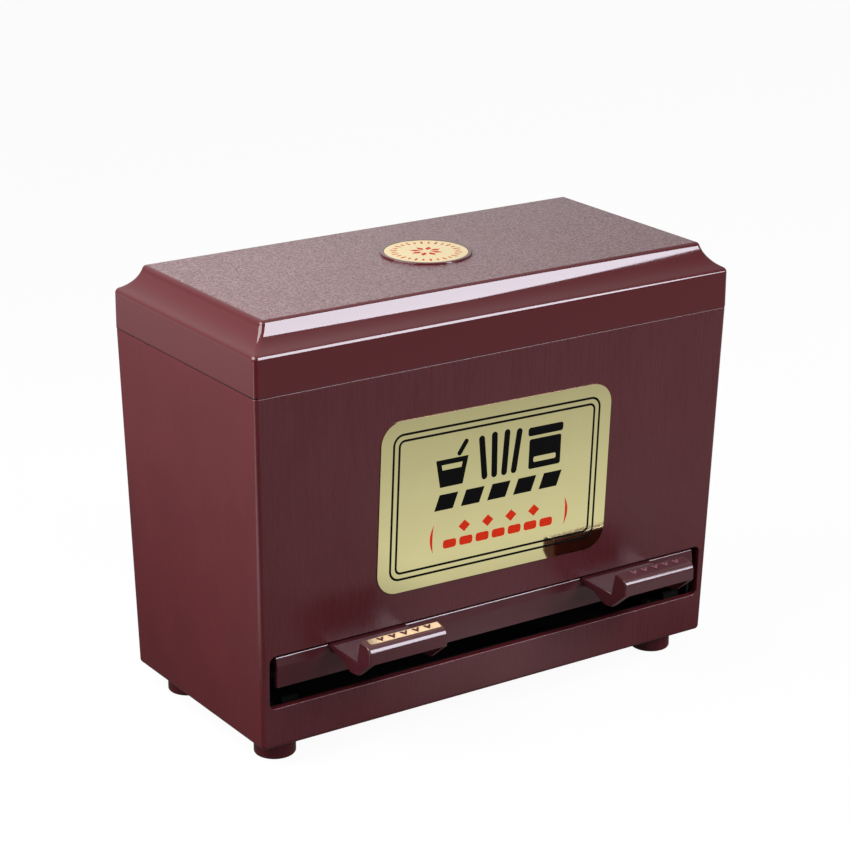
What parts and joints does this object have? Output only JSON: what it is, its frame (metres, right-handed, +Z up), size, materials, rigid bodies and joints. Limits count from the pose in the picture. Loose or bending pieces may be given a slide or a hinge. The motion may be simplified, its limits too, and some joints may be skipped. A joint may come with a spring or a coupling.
{
  "type": "straw dispenser",
  "caption": "Countertop straw dispenser: tapered box with lift-off coved lid, full-width front slot and a sprung bar with two finger tabs that hands out a straw.",
  "frame": {"origin": "on the table, under the middle of the whole outline, press tabs included", "axes": "+Z up, +X to the right along the long side, -Y to the front, where the tabs stand out"},
  "size_m": [0.235, 0.1418, 0.1902],
  "materials": {
    "case_plastic": "moulded plastic, dark burgundy, satin sides and a finely brushed front",
    "lid_plastic": "moulded plastic, dark burgundy, glossy rim and cove, fine grain on the flat top",
    "bar_plastic": "moulded plastic, dark burgundy, glossy",
    "label_foil": "pale gold foil, mirror-like, with a plain printed border and pictogram",
    "foil": "gold foil",
    "inner_plastic": "moulded plastic, black, matt",
    "bush_plastic": "acetal, natural white",
    "steel": "bright steel",
    "rubber": "black rubber",
    "foot_plastic": "moulded plastic, dark burgundy, smooth"
  },
  "bodies": {
    "case": {"case_shell": "case_plastic", "label_plate": "label_foil", "mechanism_tray": "inner_plastic", "side_cheek_left": "inner_plastic", "side_cheek_right": "inner_plastic", "hopper_ramp": "inner_plastic", "pivot_rod": "steel", "rod_clips": "steel", "return_spring_left": "steel", "return_spring_right": "steel", "stop_pads": "rubber", "foot_front_left": "foot_plastic", "foot_front_right": "foot_plastic", "foot_rear_left": "foot_plastic", "foot_rear_right": "foot_plastic", "foot_screws": "steel", "cheek_screws": "steel", "ramp_screws": "steel"},
    "lid": {"lid": "lid_plastic", "badge_disc": "foil"},
    "press_rocker": {"press_bar": "bar_plastic", "press_tab_left": "bar_plastic", "press_tab_right": "bar_plastic", "foil_strip": "foil", "bar_bush_left": "bush_plastic", "bar_bush_right": "bush_plastic"}
  },
  "joints": [
    {"name": "press_hinge", "type": "hinge", "parent": "case", "child": "press_rocker", "pos_m": [0, -0.02799, 0.04], "axis": [1, 0, 0], "range_deg": [0, 35], "stiffness_Nm_per_rad": 0.15, "springref_deg": -17.19, "deforming": ["return_spring_left", "return_spring_right"]},
    {"name": "lid_lift", "type": "slide", "parent": "case", "child": "lid", "axis": [0, 0, 1], "range_m": [0, 0.06]}
  ]
}
